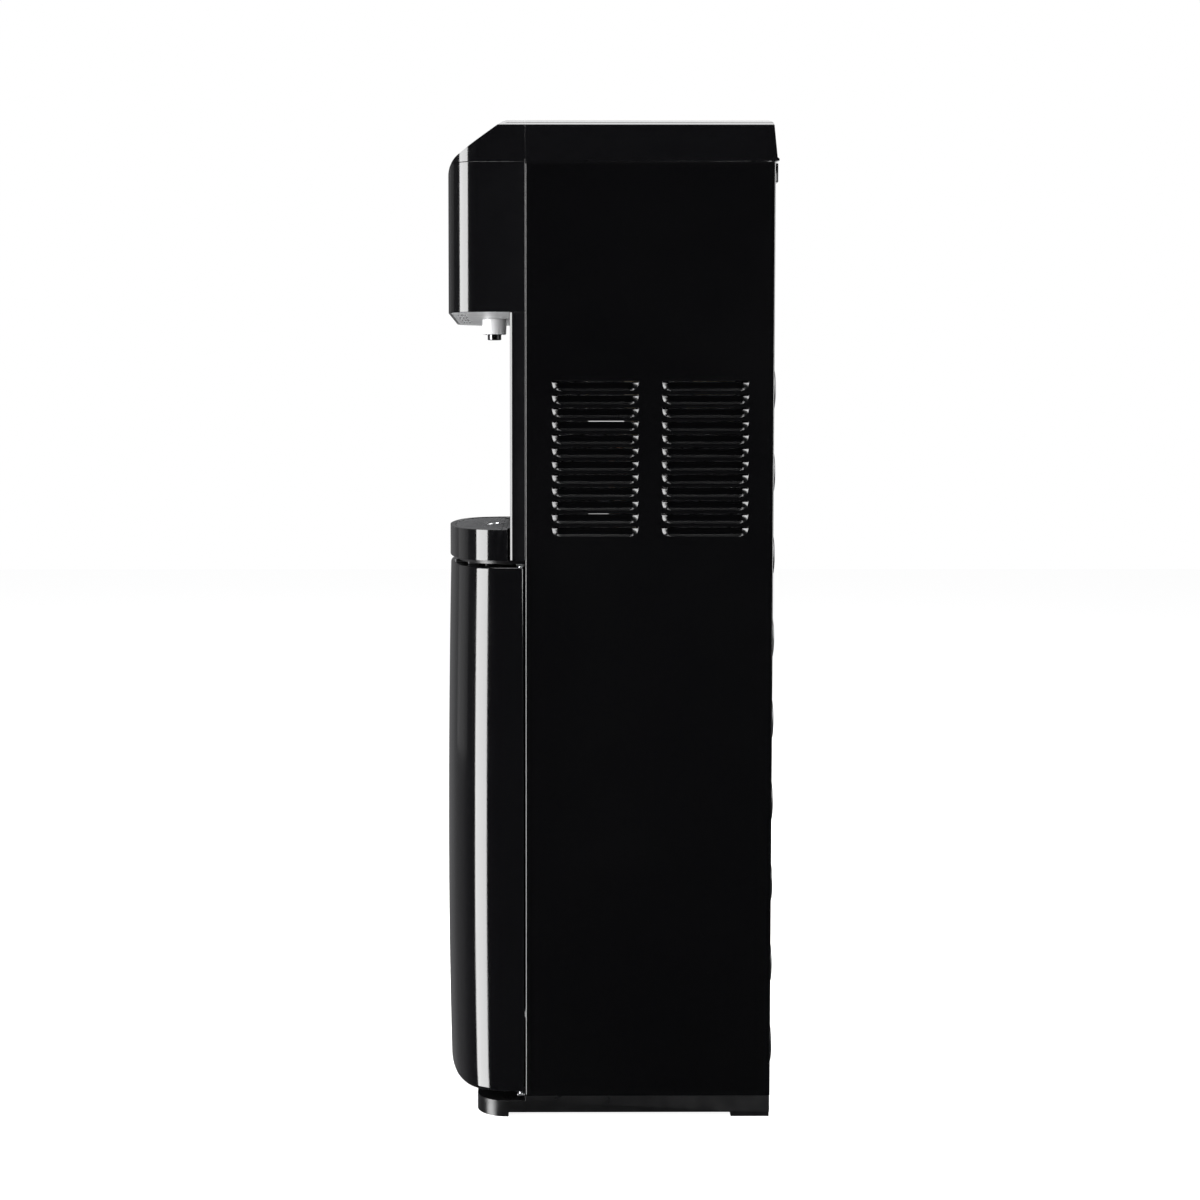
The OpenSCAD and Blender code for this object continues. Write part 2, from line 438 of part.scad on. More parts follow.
base_plinth();
right_side_panel();
left_side_panel();
rear_panel();
top_cover();
control_cap();
head_front_cover();
head_underside_cover();
nozzle_shroud();
nozzle_spout();
alcove_liner();
tray_shelf();
drip_tray();
drip_grille();
drip_grille_rear();
grille_ring();
door_outer();
door_inner_liner();
upper_hinge_bracket();
lower_hinge_bracket();
magnet_catch();
strike_plate();
hot_button();
room_button();
cold_button();
child_lock_button();
indicator_lenses();
control_board();
bottle_tray();
bottle_probe();
probe_cap();
probe_holder();
suction_hose();
water_pump();
pump_bracket();
compressor_shelf();
compressor();
compressor_grommets();
compressor_relay();
filter_drier();
condenser_tube();
condenser_wires();
condenser_brackets();
cold_tank_at();  // cold_tank
evaporator_coil();
insulation_lower();
insulation_upper();
float_stem();
float_ring();
hot_tank();
hot_tank_jacket();
heater_band();
solenoid_valves();
power_board();
hot_switch();
cold_switch();
switch_bezel();
drain_outlet();
drain_cap();
cord_gland();
panel_screws();
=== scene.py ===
"""Bottom-loading water dispenser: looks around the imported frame. Metres, +Z up, front faces -Y."""
import math
import json

import bpy
import bmesh
from mathutils import Vector, Matrix


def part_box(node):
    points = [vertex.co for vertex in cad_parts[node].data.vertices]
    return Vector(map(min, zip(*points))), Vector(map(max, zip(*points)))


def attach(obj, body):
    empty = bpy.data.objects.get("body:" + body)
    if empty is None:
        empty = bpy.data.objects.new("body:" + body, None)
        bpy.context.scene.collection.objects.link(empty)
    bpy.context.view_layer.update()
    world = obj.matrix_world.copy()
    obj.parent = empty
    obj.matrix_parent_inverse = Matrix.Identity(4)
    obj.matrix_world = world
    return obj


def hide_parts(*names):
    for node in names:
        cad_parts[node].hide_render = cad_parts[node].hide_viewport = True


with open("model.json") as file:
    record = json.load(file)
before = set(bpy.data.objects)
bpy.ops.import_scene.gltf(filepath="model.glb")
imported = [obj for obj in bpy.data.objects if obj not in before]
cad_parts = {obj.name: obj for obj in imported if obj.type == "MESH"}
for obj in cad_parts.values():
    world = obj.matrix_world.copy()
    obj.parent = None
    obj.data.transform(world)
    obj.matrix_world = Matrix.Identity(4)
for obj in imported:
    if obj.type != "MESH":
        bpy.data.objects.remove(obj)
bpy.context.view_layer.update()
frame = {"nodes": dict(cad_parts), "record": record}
NODES = frame["nodes"]
BODY_OF = {n: b for b, ns in frame["record"]["behaviour"]["bodies"].items() for n in ns}
SLOT_OF = {s["node"]: s["material_slot"] for s in frame["record"]["subparts"]}
MM = 0.001


def box(n):
    lo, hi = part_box(n)
    return Vector(lo), Vector(hi)


panel_lo, panel_hi = box("right_side_panel")
YF, YR, HX = panel_lo.y, panel_hi.y, panel_hi.x          # front and rear edge of the side panels, half width
Z_SEAM = box("top_cover")[0].z
H = box("top_cover")[1].z

# ------------------------------------------------------------------ camera, lights, world
scene = bpy.context.scene
scene.view_settings.view_transform = "Standard"
scene.view_settings.look = "None"
cam_data = bpy.data.cameras.new("camera")
cam = bpy.data.objects.new("camera", cam_data)
scene.collection.objects.link(cam)
scene.camera = cam
cam_data.sensor_width = 36.0
cam_data.lens = 62.46
cam_data.shift_x = 0.0433
cam_data.shift_y = -0.040
cam_data.clip_start = 0.05
cam.location = (HX + 2.156, YF + 0.0116, 0.7324)
cam.rotation_euler = (math.radians(90 - 3.59), 0, math.radians(90 - 0.326))
cam_data.dof.use_dof = False


def softbox(name, loc, target, sx, sy, power, spread=180):
    li = bpy.data.lights.new(name, "AREA")
    li.shape = "RECTANGLE"
    li.size, li.size_y = sx, sy
    li.energy = power
    li.spread = math.radians(spread)
    ob = bpy.data.objects.new(name, li)
    scene.collection.objects.link(ob)
    ob.location = loc
    d = Vector(target) - Vector(loc)
    ob.rotation_euler = d.to_track_quat("-Z", "Y").to_euler()
    return ob


softbox("key_front_left", (1.017, -2.12, 0.155), (0.02, -0.07, 0.155), 1.25, 2.59, 164)
softbox("rear_right", (0.50, 1.90, 1.25), (0.15, 0.03, 0.72), 1.3, 1.9, 112)
softbox("top_light", (-0.10, 0.0, 2.6), (0.05, 0, 0.9), 1.9, 1.9, 100)
softbox("front_fill", (-1.7, -2.3, 1.0), (0, 0, 0.6), 1.8, 2.2, 2.0)
softbox("far_fill", (-2.4, 0.9, 1.3), (0, 0, 0.6), 1.4, 1.8, 9)

world = bpy.data.worlds.new("studio")
scene.world = world
world.use_nodes = True
wn, wl = world.node_tree.nodes, world.node_tree.links
wn.clear()
w_out = wn.new("ShaderNodeOutputWorld")
w_mix = wn.new("ShaderNodeMixShader")
w_lp = wn.new("ShaderNodeLightPath")
w_cam = wn.new("ShaderNodeBackground")
w_env = wn.new("ShaderNodeBackground")
w_tc = wn.new("ShaderNodeTexCoord")
w_sep = wn.new("ShaderNodeSeparateXYZ")
w_ramp = wn.new("ShaderNodeValToRGB")
w_map = wn.new("ShaderNodeMapRange")
w_cam.inputs["Color"].default_value = (1, 1, 1, 1)
w_cam.inputs["Strength"].default_value = 1.0
w_env.inputs["Strength"].default_value = 1.0
wl.new(w_tc.outputs["Generated"], w_sep.inputs[0])
w_map.inputs["From Min"].default_value = -1.0
w_map.inputs["From Max"].default_value = 1.0
wl.new(w_sep.outputs["X"], w_map.inputs["Value"])
wl.new(w_map.outputs["Result"], w_ramp.inputs["Fac"])
els = w_ramp.color_ramp.elements
els[0].position, els[0].color = 0.0, (0.16, 0.16, 0.164, 1)
els[1].position, els[1].color = 1.0, (0.010, 0.010, 0.011, 1)
e = els.new(0.38); e.color = (0.08, 0.08, 0.082, 1)
e = els.new(0.60); e.color = (0.045, 0.045, 0.047, 1)
e = els.new(0.80); e.color = (0.012, 0.012, 0.013, 1)
wl.new(w_ramp.outputs["Color"], w_env.inputs["Color"])
wl.new(w_lp.outputs["Is Camera Ray"], w_mix.inputs["Fac"])
wl.new(w_env.outputs[0], w_mix.inputs[1])
wl.new(w_cam.outputs[0], w_mix.inputs[2])
wl.new(w_mix.outputs[0], w_out.inputs["Surface"])


# ------------------------------------------------------------------ materials
def material(name, color, rough=0.4, metallic=0.0, var=0.15, var_scale=3.0, rvar=0.08, rscale=40.0,
             bump=0.15, bscale=900.0, bdist=0.00004, coat=0.0, coat_rough=0.05, wear=0.0, wear_col=None,
             sheen=0.0, transmission=0.0, ior=1.5, alpha=1.0, emission=None, fibre=None, spec=0.5, wave=0.0, wave_scale=5.0,
             detail=3.0, sub=0.0):
    """A procedural material. Colour, roughness and bump all come from 3-D noise at the real surface's scale."""
    m = bpy.data.materials.new(name)
    m.use_nodes = True
    n, l = m.node_tree.nodes, m.node_tree.links
    b = n["Principled BSDF"]
    tc = n.new("ShaderNodeTexCoord")
    vec = tc.outputs["Object"]
    if fibre:
        mp = n.new("ShaderNodeMapping")
        mp.inputs["Scale"].default_value = fibre
        l.new(vec, mp.inputs["Vector"])
        vecf = mp.outputs["Vector"]
    else:
        vecf = vec
    n1 = n.new("ShaderNodeTexNoise")
    n1.inputs["Scale"].default_value = var_scale
    n1.inputs["Detail"].default_value = 4.0
    l.new(vec, n1.inputs["Vector"])
    ramp = n.new("ShaderNodeValToRGB")
    c = Vector(color[:3])
    lo, hi = c * (1 - var), c * (1 + var)
    ramp.color_ramp.elements[0].position = 0.3
    ramp.color_ramp.elements[1].position = 0.7
    ramp.color_ramp.elements[0].color = (*[max(0, x) for x in lo], 1)
    ramp.color_ramp.elements[1].color = (*[min(1, x) for x in hi], 1)
    l.new(n1.outputs["Fac"], ramp.inputs["Fac"])
    col_out = ramp.outputs["Color"]
    if wear > 0:
        geo = n.new("ShaderNodeNewGeometry")
        wr = n.new("ShaderNodeValToRGB")
        wr.color_ramp.elements[0].position = 0.52
        wr.color_ramp.elements[1].position = 0.62
        l.new(geo.outputs["Pointiness"], wr.inputs["Fac"])
        n4 = n.new("ShaderNodeTexNoise")
        n4.inputs["Scale"].default_value = 60
        l.new(vec, n4.inputs["Vector"])
        mul = n.new("ShaderNodeMath")
        mul.operation = "MULTIPLY"
        l.new(wr.outputs["Color"], mul.inputs[0])
        l.new(n4.outputs["Fac"], mul.inputs[1])
        mul2 = n.new("ShaderNodeMath")
        mul2.operation = "MULTIPLY"
        mul2.inputs[1].default_value = wear
        l.new(mul.outputs[0], mul2.inputs[0])
        mix = n.new("ShaderNodeMixRGB")
        wc = wear_col or [min(1, x * 2.2 + 0.02) for x in color[:3]]
        mix.inputs["Color2"].default_value = (*wc, 1)
        l.new(mul2.outputs[0], mix.inputs["Fac"])
        l.new(col_out, mix.inputs["Color1"])
        col_out = mix.outputs["Color"]
    l.new(col_out, b.inputs["Base Color"])
    n2 = n.new("ShaderNodeTexNoise")
    n2.inputs["Scale"].default_value = rscale
    n2.inputs["Detail"].default_value = detail
    l.new(vecf, n2.inputs["Vector"])
    mr = n.new("ShaderNodeMapRange")
    mr.inputs["From Min"].default_value = 0.3
    mr.inputs["From Max"].default_value = 0.7
    mr.inputs["To Min"].default_value = max(0.01, rough - rvar)
    mr.inputs["To Max"].default_value = min(1.0, rough + rvar)
    l.new(n2.outputs["Fac"], mr.inputs["Value"])
    l.new(mr.outputs["Result"], b.inputs["Roughness"])
    normal = None
    if bump > 0:
        n3 = n.new("ShaderNodeTexNoise")
        n3.inputs["Scale"].default_value = bscale
        n3.inputs["Detail"].default_value = 2.0
        l.new(vecf, n3.inputs["Vector"])
        bp = n.new("ShaderNodeBump")
        bp.inputs["Strength"].default_value = bump
        bp.inputs["Distance"].default_value = bdist
        l.new(n3.outputs["Fac"], bp.inputs["Height"])
        normal = bp.outputs["Normal"]
    if wave > 0:
        n5 = n.new("ShaderNodeTexNoise")
        n5.inputs["Scale"].default_value = wave_scale
        n5.inputs["Detail"].default_value = 1.0
        l.new(vec, n5.inputs["Vector"])
        bw = n.new("ShaderNodeBump")
        bw.inputs["Strength"].default_value = 1.0
        bw.inputs["Distance"].default_value = wave
        l.new(n5.outputs["Fac"], bw.inputs["Height"])
        if normal is not None:
            l.new(normal, bw.inputs["Normal"])
        normal = bw.outputs["Normal"]
    if normal is not None:
        l.new(normal, b.inputs["Normal"])
    b.inputs["Metallic"].default_value = metallic
    b.inputs["IOR"].default_value = ior
    b.inputs["Specular IOR Level"].default_value = spec
    b.inputs["Coat Weight"].default_value = coat
    b.inputs["Coat Roughness"].default_value = coat_rough
    b.inputs["Sheen Weight"].default_value = sheen
    b.inputs["Transmission Weight"].default_value = transmission
    b.inputs["Subsurface Weight"].default_value = sub
    if sub > 0:
        b.inputs["Subsurface Radius"].default_value = (0.004, 0.004, 0.004)
    b.inputs["Alpha"].default_value = alpha
    if emission:
        b.inputs["Emission Color"].default_value = (*emission[:3], 1)
        b.inputs["Emission Strength"].default_value = emission[3]
    return m


M = {
    "black_sheet_metal": material("black_sheet_metal", (0.0011, 0.0011, 0.0013), rough=0.20, var=0.12, var_scale=2.0, rvar=0.03, rscale=9, bump=0.18,
                                  bscale=1500, bdist=0.00002, wave=0.00003, wave_scale=3.0, wear=0.2, wear_col=(0.02, 0.02, 0.021)),
    "black_gloss_plastic": material("black_gloss_plastic", (0.0019, 0.0019, 0.0022), rough=0.10, var=0.12, rvar=0.02, rscale=12, bump=0.12,
                                    bscale=700, bdist=0.00003, wear=0.12, wear_col=(0.03, 0.03, 0.032)),
    "black_matte_plastic": material("black_matte_plastic", (0.0028, 0.0028, 0.0031), rough=0.33, var=0.2, rvar=0.07, rscale=60, bump=0.5,
                                    bscale=1600, bdist=0.00006, wear=0.3, wear_col=(0.03, 0.03, 0.031)),
    "grey_underside_plastic": material("grey_underside_plastic", (0.33, 0.333, 0.338), rough=0.36, var=0.05, rvar=0.06, bump=0.35, bscale=1300, bdist=0.00005),
    "satin_silver": material("satin_silver", (0.64, 0.64, 0.65), rough=0.32, metallic=0.25, var=0.04, rvar=0.05, rscale=12, bump=0.25, bscale=160,
                             bdist=0.00003, fibre=(1, 1, 26)),
    "dark_spout": material("dark_spout", (0.12, 0.12, 0.125), rough=0.14, metallic=1.0, var=0.06, rvar=0.04, bump=0.1, bscale=500),
    "grille_grey": material("grille_grey", (0.085, 0.086, 0.090), rough=0.30, var=0.08, rvar=0.06, bump=0.45, bscale=1500, bdist=0.00006, wear=0.3,
                            wear_col=(0.2, 0.2, 0.205)),
    "bright_ring": material("bright_ring", (0.80, 0.81, 0.82), rough=0.10, metallic=1.0, var=0.03, rvar=0.03, bump=0.08, bscale=400),
    "liner_grey": material("liner_grey", (0.060, 0.061, 0.065), rough=0.40, var=0.1, rvar=0.07, bump=0.5, bscale=1100, bdist=0.00008),
    "zinc_steel": material("zinc_steel", (0.52, 0.53, 0.54), rough=0.33, metallic=1.0, var=0.12, var_scale=60, rvar=0.12, rscale=90, bump=0.3,
                           bscale=500, wear=0.4, wear_col=(0.7, 0.7, 0.7)),
    "magnet_black": material("magnet_black", (0.022, 0.022, 0.024), rough=0.6, var=0.15, bump=0.5, bscale=900, bdist=0.00006),
    "button_black": material("button_black", (0.012, 0.012, 0.014), rough=0.20, var=0.12, rvar=0.03, bump=0.2, bscale=1100, wear=0.3, wear_col=(0.05, 0.05, 0.05)),
    "lock_red": material("lock_red", (0.36, 0.016, 0.012), rough=0.20, var=0.1, rvar=0.04, bump=0.2, bscale=900, coat=0.3),
    "lens_clear": material("lens_clear", (0.62, 0.68, 0.72), rough=0.10, var=0.04, rvar=0.03, bump=0.15, bscale=300, coat=0.5, sub=0.2),
    "board_green": material("board_green", (0.02, 0.11, 0.045), rough=0.3, var=0.25, var_scale=120, rvar=0.08, bump=0.4, bscale=350, bdist=0.0001),
    "translucent_white": material("translucent_white", (0.74, 0.75, 0.74), rough=0.32, var=0.03, rvar=0.05, bump=0.2, bscale=700, sub=0.25),
    "hose_silicone": material("hose_silicone", (0.66, 0.69, 0.69), rough=0.25, var=0.05, rvar=0.06, bump=0.2, bscale=400, sub=0.3, coat=0.2),
    "compressor_black": material("compressor_black", (0.007, 0.007, 0.0075), rough=0.28, var=0.2, rvar=0.08, bump=0.4, bscale=500, wave=0.0002, wave_scale=40),
    "rubber_black": material("rubber_black", (0.015, 0.015, 0.015), rough=0.75, var=0.2, bump=0.6, bscale=800, bdist=0.0001),
    "copper": material("copper", (0.62, 0.30, 0.17), rough=0.28, metallic=1.0, var=0.15, var_scale=50, rvar=0.1, bump=0.2, bscale=300),
    "condenser_black": material("condenser_black", (0.008, 0.008, 0.0085), rough=0.34, var=0.2, rvar=0.08, rscale=120, bump=0.4, bscale=900, wear=0.3,
                                wear_col=(0.05, 0.05, 0.05)),
    "stainless": material("stainless", (0.60, 0.61, 0.62), rough=0.27, metallic=1.0, var=0.06, rvar=0.08, bump=0.3, bscale=120, fibre=(1, 1, 24)),
    "white_foam": material("white_foam", (0.84, 0.84, 0.82), rough=0.8, var=0.06, var_scale=240, rvar=0.08, bump=0.9, bscale=260, bdist=0.0006),
    "tan_jacket": material("tan_jacket", (0.42, 0.32, 0.19), rough=0.9, var=0.25, var_scale=180, bump=0.9, bscale=420, bdist=0.0008, sheen=0.4),
    "valve_white": material("valve_white", (0.70, 0.70, 0.66), rough=0.4, var=0.05, bump=0.3, bscale=600),
    "switch_red": material("switch_red", (0.32, 0.014, 0.012), rough=0.22, var=0.1, bump=0.2, bscale=900, coat=0.2),
    "switch_green": material("switch_green", (0.015, 0.13, 0.045), rough=0.22, var=0.1, bump=0.2, bscale=900, coat=0.2),
    "bare_edge": material("bare_edge", (0.34, 0.34, 0.35), rough=0.35, metallic=0.9, var=0.85, var_scale=55, rvar=0.15, rscale=300, bump=0.5, bscale=900),
    "pump_dark": material("pump_dark", (0.02, 0.021, 0.025), rough=0.45, var=0.15, bump=0.4, bscale=700),
}


# ------------------------------------------------------------------ mesh helpers
def link(ob):
    scene.collection.objects.link(ob)
    return ob


def from_bm(bm, name, mat, smooth_angle=30):
    me = bpy.data.meshes.new(name)
    bm.normal_update()
    bm.to_mesh(me)
    bm.free()
    for p in me.polygons:
        p.use_smooth = True
    if smooth_angle:
        me.set_sharp_from_angle(angle=math.radians(smooth_angle))
    me.materials.append(mat)
    return link(bpy.data.objects.new(name, me))


def add_bevel(ob, width, seg=2, angle=32):
    bv = ob.modifiers.new("bevel", "BEVEL")
    bv.width = width
    bv.segments = seg
    bv.limit_method = "ANGLE"
    bv.angle_limit = math.radians(angle)
    bv.use_clamp_overlap = True
    bv.miter_outer = "MITER_ARC"
    wn_ = ob.modifiers.new("normals", "WEIGHTED_NORMAL")
    wn_.keep_sharp = True
    wn_.weight = 80
    return ob


def adopt(ob, node, replaces=True, body=None):
    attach(ob, body or BODY_OF[node])
    if replaces:
        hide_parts(node)
    return ob


def refine(node, bevel=0.0006, seg=2, angle=32, mat=None, flat=0.6, clean=True):
    """A finished copy of a CAD node: welded, cleaned to whole faces when clean is set, and its sharp edges rounded when
    a bevel width is given.
    """
    src = NODES[node]
    bm = bmesh.new()
    bm.from_mesh(src.data)
    bm.transform(src.matrix_world)
    bmesh.ops.remove_doubles(bm, verts=bm.verts, dist=2e-6)
    bmesh.ops.dissolve_degenerate(bm, edges=bm.edges, dist=1e-6)
    if clean:
        bmesh.ops.dissolve_limit(bm, angle_limit=math.radians(flat), verts=bm.verts, edges=bm.edges, use_dissolve_boundaries=False)
    ob = from_bm(bm, node + "_finished", mat or M[SLOT_OF[node]], smooth_angle=angle)
    if bevel:
        add_bevel(ob, bevel, seg, angle)
    return adopt(ob, node)


def grid_faces(bm, rows, close_u=False):
    """Quads between rows of vertices."""
    for a, b in zip(rows[:-1], rows[1:]):
        m = len(a)
        for i in range(m if close_u else m - 1):
            j = (i + 1) % m
            if len({a[i], a[j], b[j], b[i]}) == 4:
                bm.faces.new((a[i], a[j], b[j], b[i]))


def arc(cx, cy, r, a0, a1, n):
    return [(cx + r * math.cos(math.radians(a0 + (a1 - a0) * i / n)), cy + r * math.sin(math.radians(a0 + (a1 - a0) * i / n))) for i in range(n + 1)]


# ------------------------------------------------------------------ side panels with pressed louvres
def louvred_panel(node, side):
    """One bent sheet: front and rear flanges, and two columns of inward scoops cut open along their tops."""
    lo, hi = box(node)
    z0, z1 = lo.z, hi.z
    front = [(HX - 0.012, YF), (HX - 0.006, YF)] + arc(HX - 0.0022, YF + 0.0022, 0.0022, 270, 360, 7)
    rear = arc(HX - 0.0018, YR - 0.0018, 0.0018, 0, 90, 6) + [(HX - 0.006, YR), (HX - 0.010, YR)]
    cols = [(YF + 0.028, YF + 0.1175), (YF + 0.142, YF + 0.2315)]
    rows_n, pitch, hood, z_top, depth = 12, 0.0137, 0.0102, 0.774, 0.0054
    z_first = z_top - hood - (rows_n - 1) * pitch
    wall = 0.0068                       # length of the rounded end of a scoop
    fr = [0, 0.04, 0.1, 0.18, 0.27, 0.38, 0.5, 0.63, 0.78, 1.0]
    guard = 0.0009

    def end_depth(t):
        q = max(0.0, min(1.0, t / wall))
        return 1.22 * q - 0.22 * q * q

    def line(trim, d):
        """(y, depth, in_scoop) along the face; trim draws both ends of the outline in."""
        out = [(YF + 0.010, 0.0, 0)]
        for k, (a, b) in enumerate(cols):
            a2, b2 = a + trim, b - trim
            left = [a2 + wall * f for f in fr]
            right = [b2 - wall * f for f in reversed(fr)]
            mid = [left[-1] + (right[0] - left[-1]) * i / 6 for i in range(1, 6)]
            out.append((a - guard, 0.0, 0))
            for i, y in enumerate(left + mid + right):
                dd = d * end_depth(min(y - a2, b2 - y)) if d else 0.0
                out.append((y, dd, 1))
            out.append((b + guard, 0.0, 0))
        out.append((YR - 0.010, 0.0, 0))
        return out

    bm = bmesh.new()
    nf = len(front)
    flat_flags = [f for _, _, f in line(0, 0)]

    def ring(z, trim=0.0, d=0.0):
        vs = [bm.verts.new((side * x, y, z)) for x, y in front]
        vs += [bm.verts.new((side * (HX - dd), y, z)) for y, dd, _ in line(trim, d)]
        vs += [bm.verts.new((side * x, y, z)) for x, y in rear]
        return vs

    stack = [ring(z) for z in (z0, z0 + 0.003, 0.25, 0.45, z_first - 0.010)]
    lips = []
    for r in range(rows_n):
        zb = z_first + r * pitch
        stack.append(ring(zb - guard, 0.0048))
        steps = 9
        for j in range(steps + 1):
            t = j / steps
            trim = 0.0048 * (1 - math.sqrt(max(0.0, 1 - (1 - t) ** 2)))
            d = depth * math.sin(t * math.pi / 2) ** 0.8
            stack.append(ring(zb + (hood - 0.0010) * t, trim, d))
        top = ring(zb + hood)
        stack.append(("slit", stack[-1], top))
        lips.append(stack[-2])
        stack.append(top)
        stack.append(ring(zb + hood + guard))
    stack += [ring(z) for z in (z_top + 0.010, 0.85, 0.92, z1 - 0.003, z1)]
    prev, i = None, 0
    while i < len(stack):
        it = stack[i]
        if isinstance(it, tuple):
            _, last, top = it
            for q in range(len(last) - 1):
                j = q - nf
                if 0 <= j < len(flat_flags) - 1 and flat_flags[j] and flat_flags[j + 1]:
                    continue
                bm.faces.new((last[q], last[q + 1], top[q + 1], top[q]))
            prev = top
            i += 2
            continue
        if prev is not None:
            grid_faces(bm, [prev, it])
        prev = it
        i += 1
    bmesh.ops.remove_doubles(bm, verts=bm.verts, dist=1e-6)
    bmesh.ops.recalc_face_normals(bm, faces=bm.faces)
    probe = max(bm.faces, key=lambda f: f.calc_area())
    if probe.normal.x * side < 0:
        bmesh.ops.reverse_faces(bm, faces=bm.faces)
    ob = from_bm(bm, node + "_pressed", M["black_sheet_metal"], smooth_angle=42)
    so = ob.modifiers.new("sheet", "SOLIDIFY")
    so.thickness = 0.0009
    so.offset = -1
    so.use_even_offset = False
    wn_ = ob.modifiers.new("normals", "WEIGHTED_NORMAL")
    wn_.keep_sharp = True
    wn_.weight = 60
    adopt(ob, node)

    # bare cut edge along the lip of every scoop
    bm = bmesh.new()
    for r in range(rows_n):
        z = z_first + r * pitch + hood - 0.0010
        for a, b in cols:
            a2, b2 = a + 0.0065, b - 0.0065
            n = 24
            rows = [[], []]
            for i in range(n + 1):
                y = a2 + (b2 - a2) * i / n
                dd = depth * end_depth(min(y - a, b - y))
                rows[0].append(bm.verts.new((side * (HX - dd), y, z + 0.00002)))
                rows[1].append(bm.verts.new((side * (HX - dd - 0.0009), y, z + 0.00042)))
            grid_faces(bm, rows)
    bmesh.ops.recalc_face_normals(bm, faces=bm.faces)
    lip = from_bm(bm, node + "_cut_edges", M["bare_edge"], smooth_angle=30)
    so = lip.modifiers.new("thickness", "SOLIDIFY")
    so.thickness = 0.0002
    so.offset = -1
    adopt(lip, node, replaces=False)


louvred_panel("right_side_panel", 1)
louvred_panel("left_side_panel", -1)


# ------------------------------------------------------------------ door outer shell
def door_path(o, z, n_scale=1):
    """Outer plan of the door's right half, moved inwards by o, at height z, hinge side to centre."""
    bow = 0.086 - 0.0035 * ((z - 0.25) / 0.331) ** 2 if z > 0.25 else 0.086 - 0.0031 * ((0.25 - z) / 0.225) ** 2
    k = (bow - 0.018) / (0.0828 - 0.018)
    p = [(HX - 0.0095, YF - 0.0015 - o)] + arc(HX - 0.003, YF - 0.0045, 0.003 - min(o, 0.0027), 90, 0, 5)
    p += arc(HX - 0.050, YF - 0.018, 0.050 - o, -3, -66, 20)
    p += arc(HX - 0.09474, YF + 0.08249, 0.160 - o, -68, -80, 7)
    p += arc(0, YF + 0.4242, 0.507 - o, -81.2, -90, 9)
    out = []
    for x, y in p:
        if y < YF - 0.018:
            y = YF - 0.018 + (y - YF + 0.018) * k
        out.append((x, y))
    return out


def door_shell():
    lo, hi = box("door_outer")
    zb, zt = lo.z, hi.z
    levels = []
    rb, rt = 0.0045, 0.0022
    for a in range(0, 91, 15):
        levels.append((zb + rb * (1 - math.sin(math.radians(a))), rb * (1 - math.cos(math.radians(90 - a))) if False else rb * (1 - math.sin(math.radians(a)))))
    levels = []
    for i in range(7):                     # bottom roll
        a = math.radians(90 * i / 6)
        levels.append((zb + rb * (1 - math.cos(a)), rb * (1 - math.sin(a))))
    n = 26
    for i in range(1, n):
        levels.append((zb + rb + (zt - rt - zb - rb) * i / n, 0.0))
    for i in range(6):                     # top roll
        a = math.radians(90 * i / 5)
        levels.append((zt - rt + rt * math.sin(a), rt * (1 - math.cos(a))))
    bm = bmesh.new()
    rings = []
    for z, o in levels:
        half = door_path(o, z)
        full = half + [(-x, y) for x, y in reversed(half[:-1])]
        rings.append([bm.verts.new((x, y, z)) for x, y in full])
    grid_faces(bm, rings)
    for ring_, z in ((rings[0], levels[0][0]), (rings[-1], levels[-1][0])):
        # cap: strips towards the rear plane
        m = len(ring_)
        back = []
        for v in ring_:
            back.append(bm.verts.new((v.co.x * 0.985, YF - 0.0062, z)) if abs(v.co.y - YF) > 0.0075 else None)
        prevb = None
        idx = [i for i in range(m) if back[i] is not None]
        for a, b in zip(idx[:-1], idx[1:]):
            bm.faces.new((ring_[a], ring_[b], back[b], back[a]))
        # ends
        first, last = idx[0], idx[-1]
        bm.faces.new([ring_[i] for i in range(0, first + 1)] + [back[first]])
        bm.faces.new([ring_[i] for i in range(m - 1, last - 1, -1)] + [back[last]])
    bmesh.ops.remove_doubles(bm, verts=bm.verts, dist=1e-6)
    bmesh.ops.recalc_face_normals(bm, faces=bm.faces)
    probe = min(bm.faces, key=lambda f: f.calc_center_median().y)
    if probe.normal.y > 0:
        bmesh.ops.reverse_faces(bm, faces=bm.faces)
    ob = from_bm(bm, "door_outer_shell", M["black_gloss_plastic"], smooth_angle=40)
    so = ob.modifiers.new("wall", "SOLIDIFY")
    so.thickness = 0.0024
    so.offset = -1
    return adopt(ob, "door_outer")


door_shell()

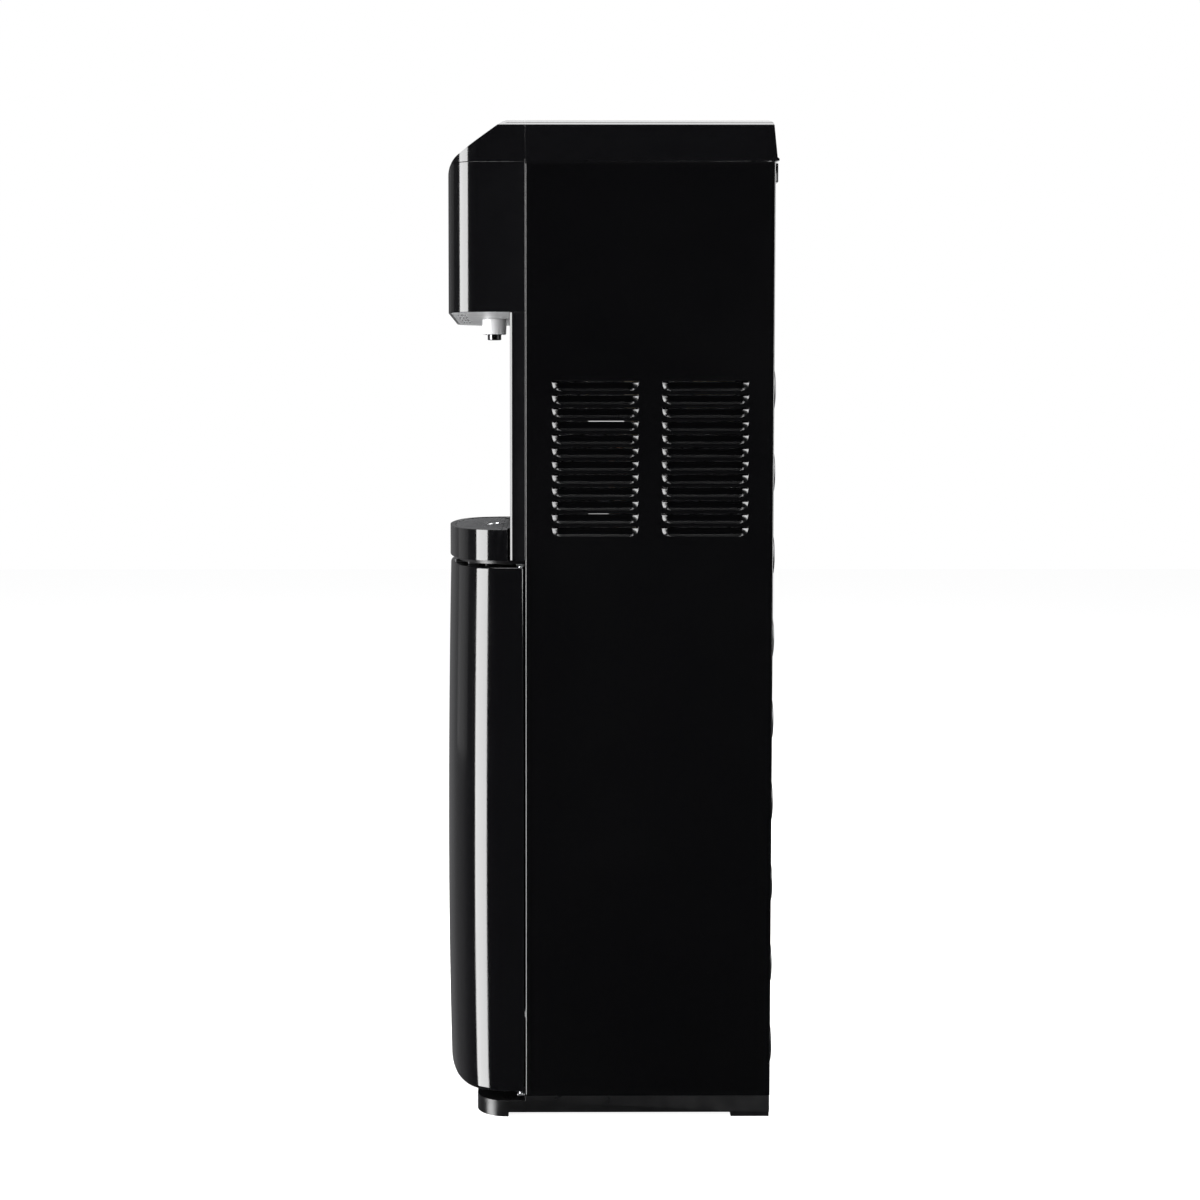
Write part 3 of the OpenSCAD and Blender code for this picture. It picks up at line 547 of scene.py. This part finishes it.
# ------------------------------------------------------------------ CAD nodes finished with rounded edges
FINISH = {
    "top_cover": (0.0007, 2), "control_cap": (0.0005, 2), "head_front_cover": (0.0007, 2), "head_underside_cover": (0.0006, 2),
    "alcove_liner": (0.0008, 3), "tray_shelf": (0.0005, 2), "drip_tray": (0.0009, 3), "drip_grille": (0.0006, 2), "grille_ring": (0.0003, 2),
    "door_inner_liner": (0.0010, 3), "base_plinth": (0.0022, 4), "rear_panel": (0.0003, 1), "upper_hinge_bracket": (0.0004, 2),
    "lower_hinge_bracket": (0.0004, 2), "magnet_catch": (0.0006, 2), "strike_plate": (0.0002, 1), "hot_button": (0.0008, 3),
    "room_button": (0.0008, 3), "cold_button": (0.0008, 3), "child_lock_button": (0.0008, 3), "indicator_lenses": (0.0003, 2),
    "bottle_tray": (0.0012, 3), "bottle_probe": (0.0004, 2), "probe_cap": (0.0006, 2), "probe_holder": (0.0006, 2), "nozzle_shroud": (0.0003, 2),
    "nozzle_spout": (0.0003, 2), "compressor_shelf": (0.0003, 1), "switch_bezel": (0.0005, 2), "hot_switch": (0.0006, 2),
    "cold_switch": (0.0006, 2), "drain_outlet": (0.0003, 2), "drain_cap": (0.0006, 2), "cord_gland": (0.0004, 2), "water_pump": (0.0006, 2),
    "pump_bracket": (0.0003, 1), "compressor": (0.0008, 2), "compressor_relay": (0.0008, 2), "filter_drier": (0.0003, 2),
    "solenoid_valves": (0.0006, 2), "condenser_brackets": (0.0003, 1), "compressor_grommets": (0.0004, 2), "control_board": (0.0002, 1),
    "power_board": (0.0002, 1), "panel_screws": (0.0002, 1),
}
FINISH["drip_grille_rear"] = FINISH["drip_grille"]
KEEP_FACES = ("rear_panel", "compressor_shelf", "strike_plate")
for node, (w, seg) in FINISH.items():
    if node in KEEP_FACES:
        refine(node, 0, seg, angle=4, clean=False)
    else:
        refine(node, w, seg)


def painted_glint_shelf_ribs():
    """Slanted guide ribs seen in the gap between tray and door, laid over the shelf's black ribs in a lighter grey as a
    painted highlight standing in for their glints.
    """
    bm = bmesh.new()
    for s_ in (-1, 1):
        for px, py, a in ((64, 96, 30), (112, 80, 20), (132, 62, 40)):
            ang = math.radians(s_ * a)
            o = Vector((s_ * px * MM, YF - 0.004 - (py - 30) * MM, Z_SHELF - 0.0033))
            rot = Matrix.Rotation(ang, 3, "Z")
            prof_ = [(-0.0008, -0.0028), (0.0008, -0.0028), (0.0011, -0.0006), (0.0016, 0.0), (-0.0016, 0.0), (-0.0011, -0.0006)]
            rows = []
            for y in (-0.0066, -0.0060, 0, 0.0060, 0.0066):
                k = 0.55 if abs(y) > 0.0062 else 1.0
                rows.append([bm.verts.new(o + rot @ Vector((x * k, y, z))) for x, z in prof_])
            grid_faces(bm, rows, close_u=True)
            bm.faces.new(rows[0])
            bm.faces.new(list(reversed(rows[-1])))
    bmesh.ops.recalc_face_normals(bm, faces=bm.faces)
    # lighter grille grey instead of the shelf's black: a painted highlight for the ribs' glints
    ob = from_bm(bm, "tray_guide_ribs_painted_glint", M["grille_grey"], 30)
    add_bevel(ob, 0.0002, 2)
    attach(ob, BODY_OF["tray_shelf"])


Z_SHELF = box("tray_shelf")[1].z
painted_glint_shelf_ribs()

# the remaining nodes keep their CAD mesh and take a procedural material
for node, ob in NODES.items():
    if ob.hide_render:
        continue
    ob.data.materials.clear()
    ob.data.materials.append(M[SLOT_OF[node]])

# ------------------------------------------------------------------ floor
def floor():
    bm = bmesh.new()
    n = 24
    rows = [[bm.verts.new((-8 + 16 * i / n, -8 + 16 * j / n, 0)) for i in range(n + 1)] for j in range(n + 1)]
    grid_faces(bm, rows)
    bmesh.ops.recalc_face_normals(bm, faces=bm.faces)
    if next(iter(bm.faces)).normal.z < 0:
        bmesh.ops.reverse_faces(bm, faces=bm.faces)
    mat = material("floor_white", (0.55, 0.55, 0.55), rough=0.8, var=0.01, var_scale=1.5, rvar=0.05, bump=0.05, bscale=60, spec=0.1,
                   emission=(1, 1, 1, 0.93))
    ob = from_bm(bm, "floor", mat, 0)
    ob.visible_glossy = False


floor()
